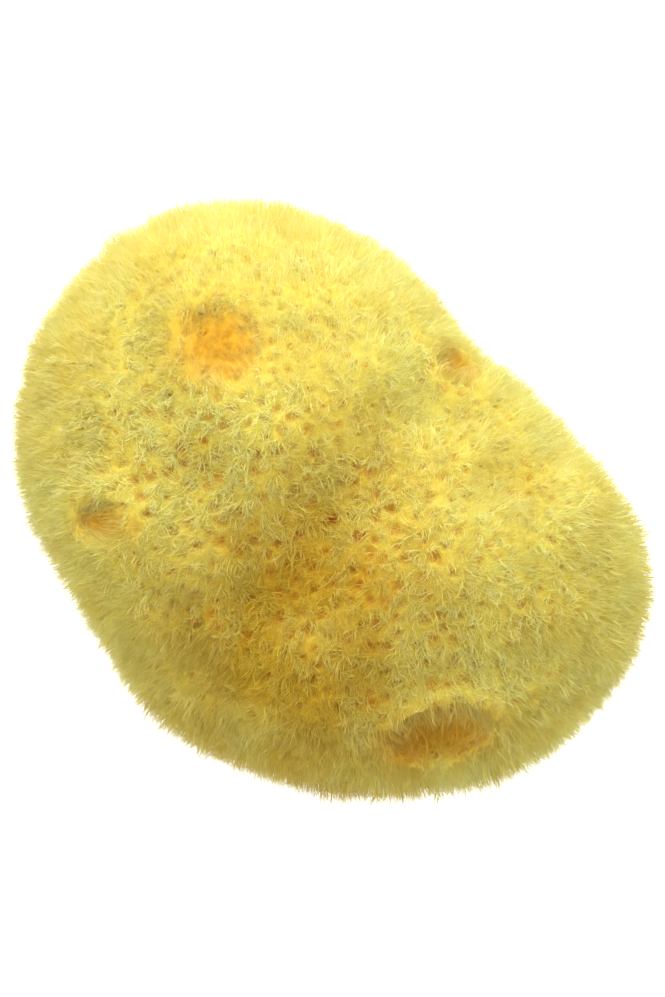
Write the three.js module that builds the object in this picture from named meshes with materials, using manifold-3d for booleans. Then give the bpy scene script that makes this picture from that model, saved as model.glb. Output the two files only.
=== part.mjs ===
// A natural silk sea sponge, cut flat where it grew on the rock.
// It grew as one piece: a low body of two lobes with a shallow valley between them,
// and the oscula, the wide mouths of its water channels, opening in its sides and top.
// The solid reaches the tips of the soft nap of fibres that covers it.
// Millimetres, +Z up, +X along the sponge's length, the origin at the middle of its cut base.
import * as THREE from "three";
import { mergeVertices } from "three/addons/utils/BufferGeometryUtils.js";
import Module from "manifold-3d";

const wasm = await Module();
wasm.setup();

// The body, before it is cut and pierced.
const skinDetail = 17; // how often each edge of the starting icosahedron is divided
// The widest outline's radii, every 30 degrees from +X.
const outlineRadii = [48.4, 49.4, 39, 35.5, 42, 48.9, 49.1, 43.9, 35.9, 36.8, 37.9, 42.3];
const widestHeight = 20; // where the body is widest, above the cut base
const crownRise = 28.5; // from the widest level to the top
const rootDrop = 24; // from the widest level down to where the body would close below the cut
const roundness = 0.84; // 1 makes elliptic sides, and less makes them steeper under a flatter top

// The valley between the lobes runs across the top, from side to side.
const valley = { x: 2, halfWidth: 7, depth: 3.2 };

// Broad swellings and dips of the skin: where, how far they reach and how far they stand out.
const swellings = [
  { at: [-12, 5, 47.5], reach: 9, rise: 2.4 },
  { at: [18, 7, 47.5], reach: 10, rise: 2 },
  { at: [-14.5, -25, 35], reach: 8, rise: 2.6 },
  { at: [27, 22.5, 33], reach: 9, rise: 1.6 },
  { at: [-37, 12.5, 35], reach: 10, rise: 1.2 },
  { at: [-15, -7, 47.5], reach: 6, rise: -1.8 },
  { at: [16, 21, 43], reach: 6, rise: -1.4 },
  { at: [-2, -25, 35], reach: 9, rise: -2.4 },
  { at: [1, 36.5, 22], reach: 5, rise: -2 },
];

// The small unevenness all over the skin.
const ripple = { height: 0.7, length: 17 };

// The oscula. Each is a funnel: its mouth's centre on the skin, the way it opens, the mouth's
// two half widths (the first one level), how much of that is left at its floor, and its depth.
const oscula = [
  { at: [-25, 10.2, 43.7], opens: [-0.32, 0.22, 1], mouth: [4.4, 4.6], floor: 0.6, depth: 17 },
  { at: [31.4, -10.6, 38], opens: [0.6, -0.47, 1], mouth: [6, 3.7], floor: 0.6, depth: 16 },
  { at: [-21.3, -17.6, 39.8], opens: [-0.77, -0.64, 1], mouth: [2.1, 3.6], floor: 0.5, depth: 12 },
  { at: [1.3, 28.4, 34.8], opens: [0.05, 1, 0.8], mouth: [2.7, 2.3], floor: 0.5, depth: 11 },
];
const flare = 1.2; // how much wider the mouth's lip is than the mouth
const lipDepth = 2.5; // how far below the skin the lip has narrowed to the mouth's width
const clearance = 6; // how far each cutting funnel stands out past the skin
const osculumSides = 20;

const up = new THREE.Vector3(0, 0, 1);
const smooth = (x) => Math.exp(-x * x);

// The outline's radius at any angle: a closed Catmull-Rom curve through its radii.
function outlineRadius(angle) {
  const count = outlineRadii.length;
  const place = ((angle / (2 * Math.PI) + 1) % 1) * count;
  const first = Math.floor(place);
  const t = place - first;
  const [a, b, c, d] = [-1, 0, 1, 2].map((k) => outlineRadii[(first + k + count) % count]);
  return b + 0.5 * t * (c - a + t * (2 * a - 5 * b + 4 * c - d + t * (3 * (b - c) + d - a)));
}

// Keeps the sign of x while its size is raised to a power.
const shaped = (x, power) => Math.sign(x) * Math.pow(Math.abs(x), power);

// Where the skin lies in one direction from the body's middle.
function skinPoint(direction) {
  const level = Math.hypot(direction.x, direction.y);
  const out = shaped(level, roundness) * outlineRadius(Math.atan2(direction.y, direction.x));
  const rise = direction.z > 0 ? crownRise : rootDrop;
  const across = level > 1e-9 ? out / level : 0;
  const point = new THREE.Vector3(
    direction.x * across,
    direction.y * across,
    widestHeight + rise * shaped(direction.z, roundness),
  );
  const upward = Math.max(direction.z, 0);
  point.z -= valley.depth * upward * smooth((point.x - valley.x) / valley.halfWidth);
  let swell = 0;
  for (const { at, reach, rise: height } of swellings)
    swell += height * smooth(point.distanceTo(new THREE.Vector3(...at)) / reach);
  const turn = (2 * Math.PI) / ripple.length;
  swell += ripple.height * Math.sin(turn * point.x + 1) * Math.sin(turn * point.y) * Math.cos(turn * point.z);
  return point.addScaledVector(direction, swell);
}

// A closed three.js geometry as a solid that can be cut.
function solidOf(geometry) {
  geometry.deleteAttribute("normal");
  geometry.deleteAttribute("uv");
  const merged = mergeVertices(geometry, 1e-4);
  return new wasm.Manifold(
    new wasm.Mesh({
      numProp: 3,
      vertProperties: new Float32Array(merged.attributes.position.array),
      triVerts: new Uint32Array(merged.index.array),
    }),
  );
}

function geometryOf(solid) {
  const mesh = solid.getMesh();
  const geometry = new THREE.BufferGeometry();
  geometry.setAttribute("position", new THREE.BufferAttribute(mesh.vertProperties, 3));
  geometry.setIndex(new THREE.BufferAttribute(mesh.triVerts, 1));
  geometry.computeVertexNormals();
  return geometry;
}

function makeBody() {
  const geometry = new THREE.IcosahedronGeometry(1, skinDetail);
  const places = geometry.attributes.position;
  for (let i = 0; i < places.count; i++) {
    const direction = new THREE.Vector3().fromBufferAttribute(places, i).normalize();
    const { x, y, z } = skinPoint(direction);
    places.setXYZ(i, x, y, z);
  }
  return solidOf(geometry);
}

// What is trimmed off below the base.
function makeTrimming() {
  const side = 4 * outlineRadii[0];
  return solidOf(new THREE.BoxGeometry(side, side, side).translate(0, 0, -side / 2));
}

// The room of one osculum: a round-bottomed funnel that widens to a lip at the skin.
function makeOsculum({ at, opens, mouth, floor, depth }) {
  const profile = [
    [0, -depth],
    [0.6 * floor, -0.96 * depth],
    [0.9 * floor, -0.86 * depth],
    [floor, -0.7 * depth],
    [(1 + floor) / 2, -0.4 * depth],
    [1, -lipDepth],
    [flare, 0],
    [1.2 * flare, clearance],
    [0, clearance],
  ].map(([radius, along]) => new THREE.Vector2(radius, along));
  const geometry = new THREE.LatheGeometry(profile, osculumSides);
  const axis = new THREE.Vector3(...opens).normalize();
  const level = new THREE.Vector3().crossVectors(up, axis).normalize();
  const slope = new THREE.Vector3().crossVectors(level, axis);
  const frame = new THREE.Matrix4().makeBasis(
    level.multiplyScalar(mouth[0]),
    axis,
    slope.multiplyScalar(mouth[1]),
  );
  return solidOf(geometry.applyMatrix4(frame.setPosition(...at)));
}

function makeSponge() {
  const cut = oscula.reduce((body, osculum) => body.subtract(makeOsculum(osculum)), makeBody());
  const geometry = geometryOf(cut.subtract(makeTrimming()));
  geometry.computeBoundingBox();
  const middle = geometry.boundingBox.getCenter(new THREE.Vector3());
  geometry.translate(-middle.x, -middle.y, -geometry.boundingBox.min.z);
  const spongin = new THREE.MeshStandardMaterial({ color: "#dcbc4e", roughness: 0.95, metalness: 0 });
  const sponge = new THREE.Mesh(geometry, spongin);
  sponge.name = "sponge";
  return sponge;
}

const group = new THREE.Group();
group.add(makeSponge());

export default group;
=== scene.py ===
# Natural silk sea sponge: the skin with its pores, the nap of fibres on it, and a plain studio.
import itertools
import math

import bpy
import numpy as np
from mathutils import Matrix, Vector
from mathutils.kdtree import KDTree


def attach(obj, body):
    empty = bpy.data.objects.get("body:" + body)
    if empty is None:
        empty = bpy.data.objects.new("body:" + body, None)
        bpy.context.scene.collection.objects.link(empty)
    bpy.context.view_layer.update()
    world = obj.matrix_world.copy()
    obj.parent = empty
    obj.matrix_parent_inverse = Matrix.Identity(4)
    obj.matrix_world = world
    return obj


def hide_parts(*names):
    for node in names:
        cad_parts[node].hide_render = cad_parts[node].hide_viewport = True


mm = 0.001

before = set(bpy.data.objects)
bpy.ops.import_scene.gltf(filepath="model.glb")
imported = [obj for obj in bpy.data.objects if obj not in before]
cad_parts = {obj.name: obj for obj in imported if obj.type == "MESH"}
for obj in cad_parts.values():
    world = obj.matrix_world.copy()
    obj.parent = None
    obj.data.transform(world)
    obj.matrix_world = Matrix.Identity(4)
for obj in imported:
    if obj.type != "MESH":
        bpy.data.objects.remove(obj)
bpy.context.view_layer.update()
print("frame loaded:", sorted(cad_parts))


# Camera: straight above, turned so that the sponge's length runs across the picture at a slant.
camera = {
    "lens": 100,  # mm
    "sensor": 36,  # mm, along the picture's long side
    "shape": 665 / 997,  # the picture's width over its height
    "turn": 40,  # degrees about the vertical
    "fill": 0.972,  # share of the picture's width that the solid takes
    "widestLevel": 20 * mm,  # the height that the fill is measured at
    "clip": (0.01, 10),
}


def makeCamera():
    data = bpy.data.cameras.new("camera")
    data.lens = camera["lens"]
    data.sensor_width = camera["sensor"]
    seen = bpy.data.objects.new("camera", data)
    bpy.context.scene.collection.objects.link(seen)
    turn = math.radians(camera["turn"])
    right = Vector((math.cos(turn), math.sin(turn), 0))
    upward = Vector((-math.sin(turn), math.cos(turn), 0))
    corners = [v.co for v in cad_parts["sponge"].data.vertices]
    across = [c.dot(right) for c in corners]
    along = [c.dot(upward) for c in corners]
    middle = right * (min(across) + max(across)) / 2 + upward * (min(along) + max(along)) / 2
    shortSide = camera["sensor"] * camera["shape"]
    distance = (max(across) - min(across)) / camera["fill"] * camera["lens"] / shortSide
    seen.location = middle + Vector((0, 0, camera["widestLevel"] + distance))
    seen.rotation_euler = (0, 0, turn)
    data.clip_start, data.clip_end = camera["clip"]
    bpy.context.scene.camera = seen


makeCamera()


# Colours are sRGB hex values.
def linear(hexColour):
    channels = [int(hexColour[i : i + 2], 16) / 255 for i in (1, 3, 5)]
    return [c / 12.92 if c <= 0.04045 else ((c + 0.055) / 1.055) ** 2.4 for c in channels] + [1.0]


def addNode(tree, kind, settings=None, links=None):
    node = tree.nodes.new(kind)
    for name, value in (settings or {}).items():
        if name in node.inputs:
            node.inputs[name].default_value = value
        else:
            setattr(node, name, value)
    for name, source in (links or {}).items():
        tree.links.new(source, node.inputs[name])
    return node


def newMaterial(name):
    material = bpy.data.materials.new(name)
    material.use_nodes = True
    material.node_tree.nodes.clear()
    return material, material.node_tree


def unit(vectors):
    return vectors / np.maximum(np.linalg.norm(vectors, axis=1, keepdims=True), 1e-12)


def smoothStep(low, high, x):
    t = np.clip((x - low) / (high - low), 0, 1)
    return t * t * (3 - 2 * t)


# A smooth random value at each point, between about -1 and 1, from crossing waves of about a length.
def wander(points, length, seed, count=7):
    rng = np.random.default_rng(seed)
    waves = unit(rng.normal(size=(count, 3))) * (2 * np.pi / length) * rng.uniform(0.6, 1.5, (count, 1))
    phases = rng.uniform(0, 2 * np.pi, count)
    return np.sin(points @ waves.T + phases).sum(1) / 3


# Points kept in a random order, none nearer than its gap to one kept before it.
def spread(points, gaps, rng):
    cells = np.floor(points / gaps.max()).astype(int).tolist()
    spots, gapList = points.tolist(), gaps.tolist()
    around = list(itertools.product((-1, 0, 1), repeat=3))
    grid, kept = {}, []
    for i in rng.permutation(len(points)).tolist():
        cx, cy, cz = cells[i]
        x, y, z = spots[i]
        least = gapList[i] ** 2
        near = (spots[j] for dx, dy, dz in around for j in grid.get((cx + dx, cy + dy, cz + dz), ()))
        if all((a - x) ** 2 + (b - y) ** 2 + (c - z) ** 2 >= least for a, b, c in near):
            kept.append(i)
            grid.setdefault((cx, cy, cz), []).append(i)
    return np.array(kept)


def treeOf(points):
    tree = KDTree(len(points))
    for i, point in enumerate(points.tolist()):
        tree.insert(point, i)
    tree.balance()
    return tree


# The nearest of the tree's points to each point, and how far it is.
def nearest(tree, points):
    found = [tree.find(p) for p in points.tolist()]
    return np.array([f[1] for f in found]), np.array([f[2] for f in found])


# Skin: the body under its nap, with the pores of the fine canals pressed into it.
skin = {
    "weld": 0.01 * mm,
    "voxel": 0.6 * mm,
    "smoothing": 9,
    "napDepth": 2.3 * mm,
    "baseFade": (0.5 * mm, 7 * mm),  # heights over which the nap grows from nothing to full
    "felt": 0.05 * mm,  # height of the fine unevenness
    "feltLengths": (1.3 * mm, 2.1 * mm),
    "underside": -0.8,  # skin that faces further down than this is the cut base, and stays flat
    "lipSmoothing": 50,
    "lastSmoothing": 2,
    "poreGap": 2.25 * mm,
    "poreRadius": (0.55 * mm, 1.15 * mm),
    "poreDepth": (0.4 * mm, 1.3 * mm),
    "poreUneven": (0.3, 1.7 * mm),  # how far the pores are from round, and over what length
    "deepRadius": 0.9 * mm,
    "deepDepth": 1.5 * mm,
    "deepGap": 2 * mm,  # no other pore is nearer to a deep one
    "seed": 11,
}

# The oscula in mm: the mouth's centre, the way it opens, its half widths (the first one level),
# how wide and deep the soft dish around it is, and the level, below the mouth's centre, under
# which fibres fill its funnel, with their share of the room there.
oscula = [
    {"at": (-24.6, 9.9, 43.7), "opens": (-0.32, 0.22, 1), "mouth": (4.4, 4.6), "dish": (6.5, 1.3),
     "filled": (-1.1, 0.97)},
    {"at": (31.8, -10.9, 38.0), "opens": (0.6, -0.47, 1), "mouth": (6.0, 3.7), "dish": (4.5, 1.2),
     "filled": (-1.3, 0.96)},
    {"at": (-20.9, -17.9, 39.8), "opens": (-0.77, -0.64, 1), "mouth": (2.1, 3.6), "dish": (4.5, 0.9),
     "filled": (-2.0, 0.97)},
    {"at": (1.7, 28.1, 34.8), "opens": (0.05, 1, 0.8), "mouth": (2.7, 2.3), "dish": (4.5, 0.8),
     "filled": (-0.9, 0.97)},
]

# How far the oscula's parts reach. The funnel and the middle painted as the hollow's shade fade between
# two distances from the mouth's middle, in half widths of the mouth.
mouths = {
    "farSide": (-21 * mm, -19 * mm),  # levels below the mouth where the sponge's far side begins
    "funnel": (1.75, 1.25),
    "hollowShade": (1.9, 0.4),
    "hollowShadeUneven": (0.12, 5 * mm),  # share that the edge of the hollow's painted shade strays by, and over what length
    "lip": 1.2 * mm,
    "middle": 2 * mm,  # nearer to the middle than this, fibres lean in less
    "deep": -5 * mm,  # the level where a point counts as wholly inside
}

# The band along the crown where the nap is worn thin and the pores lie open, in mm.
openBand = {"middle": (2, -4), "reach": (42, 19), "fade": (1.1, 0.6), "heights": (25 * mm, 36 * mm)}

# Patches of painted shade in mm, a warmer, darker amber where the lower side and the valley lie in shade:
# the middle, the reach and how strong each is.
paintedShadePatches = [((7, -15), 15, 0.95), ((4, 1), 9, 0.6), ((24, -26), 16, 0.4)]

# Three deeper pores in the valley, also painted a darker amber: painted shade.
deepPores = [(-0.1, -2.6), (1.8, 2.0), (6.0, 2.0)]


def deselect():
    bpy.ops.object.select_all(action="DESELECT")


def applyModifier(piece, kind, **settings):
    deselect()
    piece.select_set(True)
    bpy.context.view_layer.objects.active = piece
    bpy.ops.object.modifier_add(type=kind)
    modifier = piece.modifiers[-1]
    for name, value in settings.items():
        setattr(modifier, name, value)
    bpy.ops.object.modifier_apply(modifier=modifier.name)


# Where each point lies about the oscula: how far inside a funnel it is, from 0 to 1, how far into
# its dish and into the middle painted a deep amber as the hollow's shade (painted shade), how the dish
# moves it, the way to the mouth's middle, and how far the fibres that fill the funnel raise it.
def aboutOscula(points):
    share, dish, hollowShade = np.zeros((3, len(points)))
    stray, length = mouths["hollowShadeUneven"]
    uneven = 1 + stray * wander(points, length, 23)
    sink, inward, rise = np.zeros((3, len(points), 3))
    for osculum in oscula:
        axis = np.array(osculum["opens"]) / np.linalg.norm(osculum["opens"])
        level = np.cross([0, 0, 1], axis)
        level /= np.linalg.norm(level)
        slope = np.cross(level, axis)
        away = points - np.array(osculum["at"]) * mm
        along = away @ axis
        sideways = away - along[:, None] * axis
        off = np.linalg.norm(sideways, axis=1)
        halfLevel, halfSlope = osculum["mouth"]
        ring = np.hypot(away @ level / (halfLevel * mm), away @ slope / (halfSlope * mm))
        past = off - off / np.maximum(ring, 1e-6)  # how far it is beyond the mouth's edge
        width, deep = osculum["dish"]
        above = smoothStep(*mouths["farSide"], along)
        within = smoothStep(*mouths["funnel"], ring) * above
        share = np.maximum(share, within * smoothStep(0, mouths["deep"], along))
        hollowShade = np.maximum(hollowShade, smoothStep(*mouths["hollowShade"], ring * uneven) * above)
        here = smoothStep(mouths["lip"] + width * mm, mouths["lip"], past) * above
        start, filling = osculum["filled"]
        rise += axis * (within * np.clip(-along - start * mm, 0, None) * filling)[:, None]
        near = here > dish
        sink[near] = (axis * here[:, None] * -deep * mm)[near]
        pull = here[near] * smoothStep(0, mouths["middle"], off[near])
        inward[near] = -unit(sideways[near]) * pull[:, None]
        dish = np.maximum(dish, here)
    return {"share": share, "dish": dish, "hollowShade": hollowShade, "sink": sink, "inward": inward, "rise": rise}


# How open the nap is at each point: 1 in the band along the crown, 0 where it closes over the pores.
def openness(points):
    (x, y), (reachX, reachY) = openBand["middle"], openBand["reach"]
    off = np.hypot((points[:, 0] / mm - x) / reachX, (points[:, 1] / mm - y) / reachY)
    off += 0.12 * wander(points, 13 * mm, 91)
    return smoothStep(*openBand["fade"], off) * smoothStep(*openBand["heights"], points[:, 2])


# How much painted shade each point takes, from 0 to 1: the warmer, darker amber of the shaded lower side
# and valley.
def paintedShadeAt(points):
    paintedShade = np.zeros(len(points))
    for (x, y), reach, most in paintedShadePatches:
        off = np.hypot(points[:, 0] / mm - x, points[:, 1] / mm - y) / reach
        paintedShade += most * np.exp(-off * off)
    return np.clip(paintedShade * (1 + 0.3 * wander(points, 12 * mm, 17)), 0, 1)


def readMesh(mesh):
    count = len(mesh.vertices)
    places = np.empty(count * 3, np.float32)
    facing = np.empty(count * 3, np.float32)
    mesh.vertices.foreach_get("co", places)
    mesh.vertex_normals.foreach_get("vector", facing)
    return places.reshape(-1, 3).astype(float), facing.reshape(-1, 3).astype(float)


def setAttribute(mesh, name, values):
    layer = mesh.attributes.new(name, "FLOAT", "POINT")
    layer.data.foreach_set("value", np.asarray(values, np.float32))


def makeSkin():
    piece = bpy.data.objects.new("spongeSkin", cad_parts["sponge"].data.copy())
    bpy.context.scene.collection.objects.link(piece)
    piece.data.materials.clear()
    deselect()
    piece.select_set(True)
    bpy.context.view_layer.objects.active = piece
    bpy.ops.object.mode_set(mode="EDIT")
    bpy.ops.mesh.select_all(action="SELECT")
    bpy.ops.mesh.remove_doubles(threshold=skin["weld"])
    bpy.ops.object.mode_set(mode="OBJECT")
    applyModifier(piece, "REMESH", mode="VOXEL", voxel_size=skin["voxel"])
    applyModifier(piece, "SMOOTH", iterations=skin["smoothing"], factor=0.5)
    return piece


# Draws the skin in by the depth of the nap, not at all at the cut base, and down into the
# sponge around each osculum, so that its mouth lies in a soft dish.
def drawIn(piece):
    places, facing = readMesh(piece.data)
    about = aboutOscula(places)
    dish = about["dish"]
    grown = smoothStep(*skin["baseFade"], places[:, 2]) * (1 - dish) * skin["napDepth"]
    felt = sum(wander(places, length, 40 + i) for i, length in enumerate(skin["feltLengths"]))
    felt *= skin["felt"]
    outward = felt * (facing[:, 2] > skin["underside"]) - grown
    moved = places + facing * outward[:, None] + about["sink"] + about["rise"]
    moved[:, 2] = np.maximum(moved[:, 2], 0)
    piece.data.vertices.foreach_set("co", moved.astype(np.float32).ravel())
    piece.data.update()
    # The smoothing grows towards each mouth in four steps, and is halved inside it.
    lips = piece.vertex_groups.new(name="lips")
    share = dish * (1 - 0.5 * (dish > 0.99))
    for weight in (0.25, 0.5, 0.75, 1.0):
        here = np.where(np.abs(share - weight) <= 0.125)[0]
        lips.add(here.tolist(), weight, "REPLACE")
    applyModifier(piece, "SMOOTH", iterations=skin["lipSmoothing"], factor=0.5, vertex_group="lips")
    applyModifier(piece, "SMOOTH", iterations=skin["lastSmoothing"], factor=0.5)
    return readMesh(piece.data)


def placePores(places, facing):
    rng = np.random.default_rng(skin["seed"])
    gaps = skin["poreGap"] * (1 + 0.16 * wander(places, 9 * mm, 3))
    chosen = spread(places, gaps, rng)
    upper = np.where(facing[:, 2] > 0.5)[0]
    deep = [upper[np.argmin(np.hypot(places[upper, 0] - x * mm, places[upper, 1] - y * mm))]
            for x, y in deepPores]
    gapsToDeep = [np.linalg.norm(places[chosen] - places[d], axis=1) for d in deep]
    chosen = np.concatenate([deep, chosen[np.min(gapsToDeep, axis=0) > skin["deepGap"]]])
    radii = rng.uniform(*skin["poreRadius"], len(chosen))
    depths = rng.uniform(*skin["poreDepth"], len(chosen))
    radii[: len(deep)] = skin["deepRadius"]
    depths[: len(deep)] = skin["deepDepth"]
    funnel = aboutOscula(places[chosen])["share"]
    openHere = openness(places[chosen])
    # Pores are shallower inside the oscula, and shallower and finer where the nap is closed.
    depths *= (1 - 0.75 * funnel) * (0.55 + 0.45 * openHere)
    radii *= 0.7 + 0.3 * openHere
    return places[chosen], radii, depths


def pressPores(piece, places, facing, centres, radii, depths):
    tree = treeOf(centres)
    which, away = nearest(tree, places)
    uneven, length = skin["poreUneven"]
    reach = away / radii[which] * (1 + uneven * wander(places, length, 77))
    press = smoothStep(1.4, 0, reach)
    moved = places - facing * (press * depths[which])[:, None]
    moved[:, 2] = np.maximum(moved[:, 2], 0)
    piece.data.vertices.foreach_set("co", moved.astype(np.float32).ravel())
    deep = np.isin(which, np.arange(len(deepPores)))
    # Painted shade: the skin is painted a darker amber by how far into a pore it is pressed.
    setAttribute(piece.data, "poreDepth", press)
    # Painted shade: the three deep pores are painted darker still.
    setAttribute(piece.data, "deepPore", press * deep)
    # Painted shade: how far each point lies in an osculum's deep amber hollow.
    setAttribute(piece.data, "hollowShade", aboutOscula(places)["hollowShade"])
    # Painted shade: how much of the warmer, darker amber of the shaded lower side each point takes.
    setAttribute(piece.data, "paintedShade", paintedShadeAt(places))
    piece.data.update()
    deselect()
    piece.select_set(True)
    bpy.context.view_layer.objects.active = piece
    bpy.ops.object.shade_smooth()
    return tree


body = makeSkin()
skinPlaces, skinFacing = drawIn(body)
poreCentres, poreRadii, poreDepths = placePores(skinPlaces, skinFacing)
bodyFaces = np.array([p.vertices[:] for p in body.data.polygons if len(p.vertices) == 4])
poreTree = pressPores(body, skinPlaces, skinFacing, poreCentres, poreRadii, poreDepths)
print("skin:", len(body.data.polygons), "faces,", len(poreCentres), "pores")


# Nap: fine fibres that gather into tufts, standing on the ridges between the pores.
nap = {
    "fine": 100000,  # straight fibres
    "bent": 26000,  # fibres with a bend halfway
    "wisps": 11200,  # thicker, curling strands of several fibres
    "clump": 4,  # wisps that grow and curl together
    "clumpSpread": 0.2 * mm,
    "droop": (0.5, -0.6, 0),  # the way the wisps hang over
    "length": 2.9 * mm,
    "fineRadius": 0.032 * mm,
    "bentRadius": 0.036 * mm,
    "wispRadius": 0.066 * mm,
    "straggle": 0.45,  # how much longer than the rest the longest few are
    "tuftGap": 1.45 * mm,
    "gather": 0.32,  # how far the tips draw together into their tuft
    "lean": 0.35,  # how far they are combed outwards down the slopes
    "mouthLean": 0.35,  # how far they lean into the oscula
    "stray": 0.3,  # how far each one goes its own way
    "crownStray": 0.7,  # and how much more on the crown
    "crown": (0.75, 0.97),  # how level the skin is where the crown begins, and where it is all crown
    "roundness": 0.6,  # how much a fibre's own roundness shows in its shading, beside the skin's facing
    "rootDepth": 0.35 * mm,
    "rootHeight": 0.4 * mm,  # no root is lower
    "floorGap": 0.15 * mm,
    "underside": -0.85,  # none grow on skin that faces further down than this
    "tries": 2.6,  # roots scattered for each one wanted
    "tuftTries": 60000,  # places tried for the tips that the fibres gather to
    # How near to a pore's middle each kind grows, and how softly that fades, in pore radii.
    "margins": {"tufts": 1.25, "fine": 0.7, "bent": 0.65, "wisps": 1.0},
    "poreEdge": 0.25,
    "wispCrown": (0.7, 0.95),  # wisps lie over more as the skin's upward facing goes through this
    "seed": 29,
}


# Random points over the drawn-in skin, with its facing there.
def scatterRoots(count, rng):
    a, b, c, d = (skinPlaces[bodyFaces[:, i]] for i in range(4))
    area = np.linalg.norm(np.cross(c - a, d - b), axis=1)
    area *= 0.4 + 0.8 * smoothStep(-0.4, 0.6, skinFacing[bodyFaces[:, 0], 2])
    faces = rng.choice(len(bodyFaces), count, p=area / area.sum())
    u, v = rng.random((2, count, 1))
    corners = [skinPlaces[bodyFaces[faces, i]] for i in range(4)]
    ways = [skinFacing[bodyFaces[faces, i]] for i in range(4)]
    weights = [(1 - u) * (1 - v), u * (1 - v), u * v, (1 - u) * v]
    places = sum(w * p for w, p in zip(weights, corners))
    return places, unit(sum(w * n for w, n in zip(weights, ways)))


# Roots that keep off the pores, and are sparser where the skin faces down.
def rootsBetweenPores(count, rng, kind):
    margin = nap["margins"][kind]
    places, facing = scatterRoots(int(count * nap["tries"]), rng)
    which, away = nearest(poreTree, places)
    clear = smoothStep(margin - nap["poreEdge"], margin + nap["poreEdge"], away / poreRadii[which])
    free = rng.random(len(places)) < 1 - (1 - clear) * (0.3 + 0.7 * openness(places))
    free &= (facing[:, 2] > nap["underside"]) & (places[:, 2] > nap["rootHeight"])
    free &= rng.random(len(places)) > 0.45 * smoothStep(-0.2, -0.7, facing[:, 2])
    found = np.where(free)[0][:count]
    return places[found], facing[found]


# The way a fibre stands: out from the skin, combed down the slope, and a little astray.
def standing(places, facing, rng):
    outward = places * [1, 1, 0]
    outward = unit(outward - facing * (outward * facing).sum(1, keepdims=True))
    swirl = np.stack([wander(places, 11 * mm, 50 + i) for i in range(3)], 1)
    way = facing + nap["lean"] * outward + 0.25 * swirl + nap["mouthLean"] * aboutOscula(places)["inward"]
    crown = smoothStep(*nap["crown"], facing[:, 2:])
    way += (nap["stray"] + nap["crownStray"] * crown) * rng.normal(size=places.shape)
    return unit(way)


def lengthsAt(places, rng):
    about = aboutOscula(places)
    grown = 0.35 + 0.65 * smoothStep(*skin["baseFade"], places[:, 2])
    lengths = nap["length"] * (1 + 0.12 * wander(places, 5 * mm, 61))
    lengths = lengths * rng.uniform(0.5, 1.1, len(places))
    lengths *= 1 + nap["straggle"] * rng.random(len(places)) ** 5
    return lengths * grown * (1 - 0.2 * about["share"])


# Tips drawn towards the tip of the nearest tuft.
def gathered(places, tips, tufts):
    which, away = nearest(tufts["tree"], places)
    pull = nap["gather"] * smoothStep(1.8, 0.3, away / nap["tuftGap"])
    shift = (tufts["tips"][which] - tips) * pull[:, None]
    far = np.linalg.norm(shift, axis=1, keepdims=True)
    shift *= np.minimum(1, nap["tuftGap"] / np.maximum(far, 1e-9))
    return tips + shift, tufts["shades"][which]


def makeTufts(rng):
    places, facing = rootsBetweenPores(nap["tuftTries"], rng, "tufts")
    chosen = spread(places, np.full(len(places), nap["tuftGap"]), rng)
    places, facing = places[chosen], facing[chosen]
    tips = places + standing(places, facing, rng) * (lengthsAt(places, rng) * 1.05)[:, None]
    print("tufts:", len(places))
    return {"tree": treeOf(places), "tips": tips, "shades": rng.uniform(0, 1, len(places))}


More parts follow.
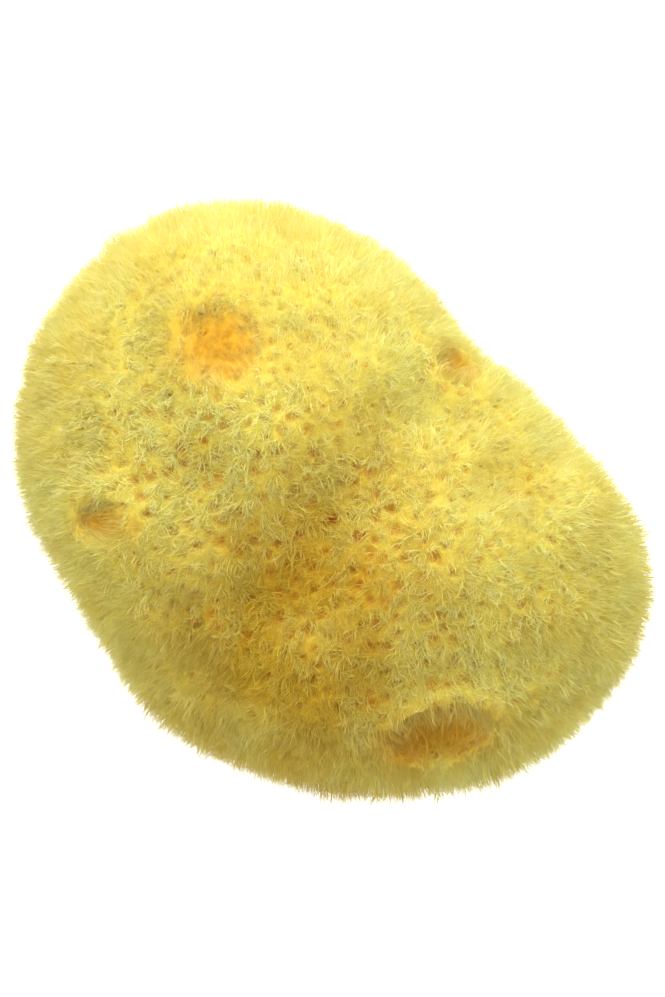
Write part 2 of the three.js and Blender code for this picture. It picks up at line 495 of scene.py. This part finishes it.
# Closed three-sided strands through rows of points, thinning from root to tip.
def strandMesh(name, rows, radii, shades, facing):
    count, steps = len(rows), len(rows[0])
    ways = np.gradient(rows, axis=1)
    ways /= np.maximum(np.linalg.norm(ways, axis=2, keepdims=True), 1e-12)
    side = unit(np.cross(ways[:, 0], np.random.default_rng(5).normal(size=(count, 3))))
    rings, outs = [], []
    for s in range(steps - 1):
        way = ways[:, s]
        side = unit(side - way * (side * way).sum(1, keepdims=True))
        other = np.cross(way, side)
        for turn in (0, 2 * np.pi / 3, 4 * np.pi / 3):
            outs.append(np.cos(turn) * side + np.sin(turn) * other)
            rings.append(rows[:, s] + radii[:, s, None] * outs[-1])
    rings.append(rows[:, -1])
    outs.append(ways[:, -1])
    points = np.stack(rings, 1)
    points[:, :, 2] = np.maximum(points[:, :, 2], nap["floorGap"] * 0.2)
    each = points.shape[1]
    faces = [(0, 2, 1)]
    for s in range(steps - 2):
        for k in range(3):
            a, b = 3 * s + k, 3 * s + (k + 1) % 3
            faces += [(a, b, b + 3), (a, b + 3, a + 3)]
    last = 3 * (steps - 2)
    faces += [(last + k, last + (k + 1) % 3, each - 1) for k in range(3)]
    index = (np.arange(count)[:, None, None] * each + np.array(faces)[None]).reshape(-1)
    along = np.concatenate([np.repeat(np.arange(steps - 1), 3), [steps - 1]]) / (steps - 1)

    mesh = bpy.data.meshes.new(name)
    mesh.vertices.add(count * each)
    mesh.vertices.foreach_set("co", points.astype(np.float32).ravel())
    mesh.loops.add(len(index))
    mesh.loops.foreach_set("vertex_index", index.astype(np.int32))
    mesh.polygons.add(len(index) // 3)
    mesh.polygons.foreach_set("loop_start", np.arange(0, len(index), 3, dtype=np.int32))
    mesh.update(calc_edges=True)
    setAttribute(mesh, "alongFibre", np.tile(along, count))
    setAttribute(mesh, "shade", np.repeat(shades, each))
    # Painted shade: how far each fibre stands in an osculum's deep amber hollow.
    setAttribute(mesh, "hollowShade", np.repeat(0.9 * aboutOscula(rows[:, 0])["hollowShade"], each))
    # Painted shade: how much of the warmer, darker amber of the shaded lower side each fibre takes.
    setAttribute(mesh, "paintedShade", np.repeat(paintedShadeAt(rows[:, 0]), each))
    shading = np.stack(outs, 1) * nap["roundness"] + facing[:, None]
    mesh.normals_split_custom_set_from_vertices(unit(shading.reshape(-1, 3)).astype(np.float32))
    piece = bpy.data.objects.new(name, mesh)
    bpy.context.scene.collection.objects.link(piece)
    return piece


def keepAboveFloor(points):
    points[..., 2] = np.maximum(points[..., 2], nap["floorGap"])
    return points


def fineFibres(tufts, rng):
    places, facing = rootsBetweenPores(nap["fine"], rng, "fine")
    way = standing(places, facing, rng)
    tips = places + way * lengthsAt(places, rng)[:, None]
    tips, shades = gathered(places, tips, tufts)
    roots = places - facing * nap["rootDepth"]
    rows = keepAboveFloor(np.stack([roots, tips], 1))
    radii = np.full((len(rows), 2), nap["fineRadius"]) * rng.uniform(0.8, 1.2, (len(rows), 1))
    return rows, radii, 0.6 * shades + 0.4 * rng.random(len(rows)), facing


def bentFibres(tufts, rng):
    places, facing = rootsBetweenPores(nap["bent"], rng, "bent")
    lengths = lengthsAt(places, rng) * 1.1
    way = standing(places, facing, rng)
    tips, shades = gathered(places, places + way * lengths[:, None], tufts)
    middle = places + unit(facing + 0.5 * (way - facing)) * (0.55 * lengths)[:, None]
    middle += rng.normal(size=places.shape) * 0.16 * mm
    tips += rng.normal(size=places.shape) * 0.2 * mm
    roots = places - facing * nap["rootDepth"]
    rows = keepAboveFloor(np.stack([roots, middle, tips], 1))
    radii = nap["bentRadius"] * np.array([1.0, 0.75, 0]) * rng.uniform(0.75, 1.25, (len(rows), 1))
    return rows, radii, 0.5 * shades + 0.5 * rng.random(len(rows)), facing


# Loose curling strands in small clumps, hanging over between the pores, most of them on the crown.
def wisps(rng):
    roots, ways = rootsBetweenPores(nap["wisps"], rng, "wisps")
    likely = np.where(rng.random(len(roots)) < 0.25 + 0.75 * openness(roots))[0]
    likely = likely[: nap["wisps"] // nap["clump"]]
    roots, ways = roots[likely], ways[likely]
    across = rng.normal(size=roots.shape) * 0.7 + nap["droop"]
    across = unit(across - ways * (across * ways).sum(1, keepdims=True))
    curl = unit(np.cross(across, ways) * rng.choice((-1, 1), (len(roots), 1)) + 0.4 * ways)
    share = np.repeat(rng.uniform(0.7, 1.25, len(roots)), nap["clump"])[:, None]
    places, facing, across, curl = (np.repeat(v, nap["clump"], 0) for v in (roots, ways, across, curl))
    places = places + rng.normal(size=places.shape) * nap["clumpSpread"]
    crown = smoothStep(*nap["wispCrown"], facing[:, 2:])
    lengths = lengthsAt(places, rng)[:, None] * share
    way = unit(facing * (1.1 - 0.35 * crown) + across * (0.35 + 0.35 * crown)
               + 0.22 * rng.normal(size=places.shape))
    tips = places + way * lengths * (0.9 - 0.25 * crown)
    bows = rng.uniform(0.1, 0.45, (len(places), 1)) * mm
    rows = [places - facing * nap["rootDepth"]]
    for along, bow, over in ((0.4, 0.8, -0.1), (0.75, 1.0, 0.05), (1.0, 0.1, 0.4)):
        rows.append(places + (tips - places) * along + curl * bow * bows + across * over * mm)
    rows = keepAboveFloor(np.stack(rows, 1))
    radii = nap["wispRadius"] * np.array([1, 0.95, 0.7, 0]) * rng.uniform(0.6, 1.2, (len(rows), 1))
    return rows, radii, 0.7 + 0.3 * rng.random(len(rows)), facing


# One layer of fibres as several pieces of equal size, from one end of the sponge to the other.
def inParts(names, layer):
    order = np.argsort(layer[0][:, 0, 0])
    parts = np.array_split(order, len(names))
    return [strandMesh(name, *(values[part] for values in layer)) for name, part in zip(names, parts)]


def makeNap():
    rng = np.random.default_rng(nap["seed"])
    tufts = makeTufts(rng)
    pieces = []
    pieces += inParts(("napFineLeft", "napFineMiddle", "napFineRight"), fineFibres(tufts, rng))
    pieces += inParts(("napBentLeft", "napBentRight"), bentFibres(tufts, rng))
    pieces.append(strandMesh("wisps", *wisps(rng)))
    return pieces


naps = makeNap()
for piece in naps:
    print(piece.name, len(piece.data.polygons), "triangles")


# Spongin is the sponge's own horny fibre, washed, bleached and dried in the sun. It is dull and
# dusty, pale where it is thin, and it lets light through; its darker amber in the pores, the oscula and
# the shaded lower side is painted shade.
spongin = {
    # rim, ledge and pit: the skin from the ridges down to each pore's bottom, painted darker there as
    # painted shade
    "rim": "#D2C458",  # skin on the ridges between the pores
    "ledge": "#D0B64A",
    "pit": "#CCA03A",
    "deep": "#C8702A",  # skin in the three deep pores, a darker amber: painted shade
    "hollowShadeSkin": "#EEBC34",  # skin in the oscula: painted shade, the deep amber of the hollow
    "root": "#FCF284",
    "middle": "#FCF890",
    "tip": "#FCFEBE",
    "hollowShadeFibre": "#F2C434",  # fibres in the oscula: painted shade, the deep amber of the hollow
    "dull": "#F4EAC4",  # what the dullest fibres are tinted with
    "paintedShadeTint": "#EBD282",  # what the painted shade on the lower side and in the valley is tinted with
    "patchTint": "#FCF4E0",
    "patch": 9 * mm,
    "through": 0.35,  # share of light that passes through a fibre
}


def colourAlong(tree, stops, source):
    ramp = addNode(tree, "ShaderNodeValToRGB", links={"Fac": source})
    elements = ramp.color_ramp.elements
    while len(elements) < len(stops):
        elements.new(0.5)
    for element, (place, colour) in zip(elements, stops):
        element.position = place
        element.color = linear(colour)
    return ramp.outputs["Color"]


def attributeOf(tree, name):
    return addNode(tree, "ShaderNodeAttribute", {"attribute_name": name}).outputs["Fac"]


def blendColours(tree, share, first, second, blend="MIX"):
    mix = addNode(tree, "ShaderNodeMix", {"data_type": "RGBA", "blend_type": blend})
    for socket, source in ((0, share), (6, first), (7, second)):
        if isinstance(source, bpy.types.NodeSocket):
            tree.links.new(source, mix.inputs[socket])
        else:
            mix.inputs[socket].default_value = source
    return mix.outputs[2]


# Painted shade, a warmer and darker amber on the shaded lower side and in the valley, where its attribute
# says; and a random tone in slow patches all over.
def paintedShadeAndPatches(tree, colour):
    paintedShade = attributeOf(tree, "paintedShade")
    colour = blendColours(tree, paintedShade, colour, linear(spongin["paintedShadeTint"]), "MULTIPLY")
    where = addNode(tree, "ShaderNodeTexCoord")
    noise = addNode(tree, "ShaderNodeTexNoise", {
        "Scale": 1 / spongin["patch"],
        "Detail": 2.0,
    }, {"Vector": where.outputs["Object"]})
    tint = colourAlong(tree, [(0.35, "#FFFFFF"), (0.65, spongin["patchTint"])], noise.outputs["Fac"])
    return blendColours(tree, 1.0, colour, tint, "MULTIPLY")


# The skin is a close felt of fibres: light soaks in and comes out warmer. Each pore is painted a darker,
# warmer amber towards its bottom: painted shade.
def skinMaterial():
    material, tree = newMaterial("sponginSkin")
    # From the ridges down into each pore the skin is painted a darker, warmer amber: painted shade.
    stops = [(0.0, spongin["rim"]), (0.4, spongin["ledge"]), (0.9, spongin["pit"])]
    colour = colourAlong(tree, stops, attributeOf(tree, "poreDepth"))
    # The three deep pores are painted a darker amber still: painted shade.
    colour = blendColours(tree, attributeOf(tree, "deepPore"), colour, linear(spongin["deep"]))
    # The oscula's middles are painted a deep amber: painted shade of the hollow.
    colour = blendColours(tree, attributeOf(tree, "hollowShade"), colour, linear(spongin["hollowShadeSkin"]))
    colour = paintedShadeAndPatches(tree, colour)
    shader = addNode(tree, "ShaderNodeBsdfPrincipled", {
        "Roughness": 0.9,
        "Specular IOR Level": 0.15,
        "Subsurface Weight": 1.0,
        "Subsurface Radius": (1.0, 0.85, 0.35),
        "Subsurface Scale": 1.6 * mm,
    }, {"Base Color": colour})
    addNode(tree, "ShaderNodeOutputMaterial", links={"Surface": shader.outputs[0]})
    return material


# The fibres pale from root to tip, each with its own tone, and glow where light comes through them.
def fibreMaterial():
    material, tree = newMaterial("sponginFibre")
    stops = [(0.0, spongin["root"]), (0.4, spongin["middle"]), (1.0, spongin["tip"])]
    colour = colourAlong(tree, stops, attributeOf(tree, "alongFibre"))
    tone = colourAlong(tree, [(0.0, spongin["dull"]), (1.0, "#FFFFFF")], attributeOf(tree, "shade"))
    colour = blendColours(tree, 1.0, colour, tone, "MULTIPLY")
    # Fibres in the oscula are painted a deep amber: painted shade of the hollow.
    colour = blendColours(tree, attributeOf(tree, "hollowShade"), colour, linear(spongin["hollowShadeFibre"]))
    colour = paintedShadeAndPatches(tree, colour)
    shader = addNode(tree, "ShaderNodeBsdfPrincipled", {"Roughness": 0.7, "Specular IOR Level": 0.25},
                     {"Base Color": colour})
    through = addNode(tree, "ShaderNodeBsdfTranslucent", links={"Color": colour})
    both = addNode(tree, "ShaderNodeMixShader", {"Fac": spongin["through"]})
    tree.links.new(shader.outputs[0], both.inputs[1])
    tree.links.new(through.outputs[0], both.inputs[2])
    addNode(tree, "ShaderNodeOutputMaterial", links={"Surface": both.outputs[0]})
    return material


body.data.materials.append(skinMaterial())
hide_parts("sponge")
fibre = fibreMaterial()
for piece in naps:
    piece.data.materials.append(fibre)
for piece in [body, *naps]:
    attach(piece, "root")


# Studio: a pale glowing floor and a large soft light from beyond the sponge's far side.
studio = {
    "floorSize": 6.0,
    "floorPaper": (0.9, 0.9, 0.9, 1),
    "floorGlow": 0.75,
    "ambient": 0.93,
    "keyPower": 7.2,
    "keySize": 0.8,
    "keyDistance": 0.7,
    "keyElevation": 48,
}


def makeStudio():
    bpy.ops.mesh.primitive_plane_add(size=studio["floorSize"], location=(0, 0, 0))
    floor = bpy.context.object
    floor.name = "floor"
    material, tree = newMaterial("paleFloor")
    paper = addNode(tree, "ShaderNodeBsdfDiffuse", {"Color": studio["floorPaper"]})
    glow = addNode(tree, "ShaderNodeEmission", {"Color": (1, 1, 1, 1), "Strength": studio["floorGlow"]})
    both = addNode(tree, "ShaderNodeAddShader")
    tree.links.new(paper.outputs[0], both.inputs[0])
    tree.links.new(glow.outputs[0], both.inputs[1])
    addNode(tree, "ShaderNodeOutputMaterial", links={"Surface": both.outputs[0]})
    floor.data.materials.append(material)

    world = bpy.data.worlds.new("studio")
    bpy.context.scene.world = world
    world.use_nodes = True
    background = world.node_tree.nodes["Background"]
    background.inputs["Color"].default_value = (1, 1, 1, 1)
    background.inputs["Strength"].default_value = studio["ambient"]

    turn = math.radians(camera["turn"])
    rise = math.radians(studio["keyElevation"])
    towards = Vector((-math.sin(turn) * math.cos(rise), math.cos(turn) * math.cos(rise), math.sin(rise)))
    data = bpy.data.lights.new("key", "AREA")
    data.energy = studio["keyPower"]
    data.size = studio["keySize"]
    key = bpy.data.objects.new("key", data)
    bpy.context.scene.collection.objects.link(key)
    key.location = towards * studio["keyDistance"]
    key.rotation_euler = towards.to_track_quat("Z", "Y").to_euler()


makeStudio()
print("studio lit")
bpy.context.scene.view_settings.view_transform = "Standard"
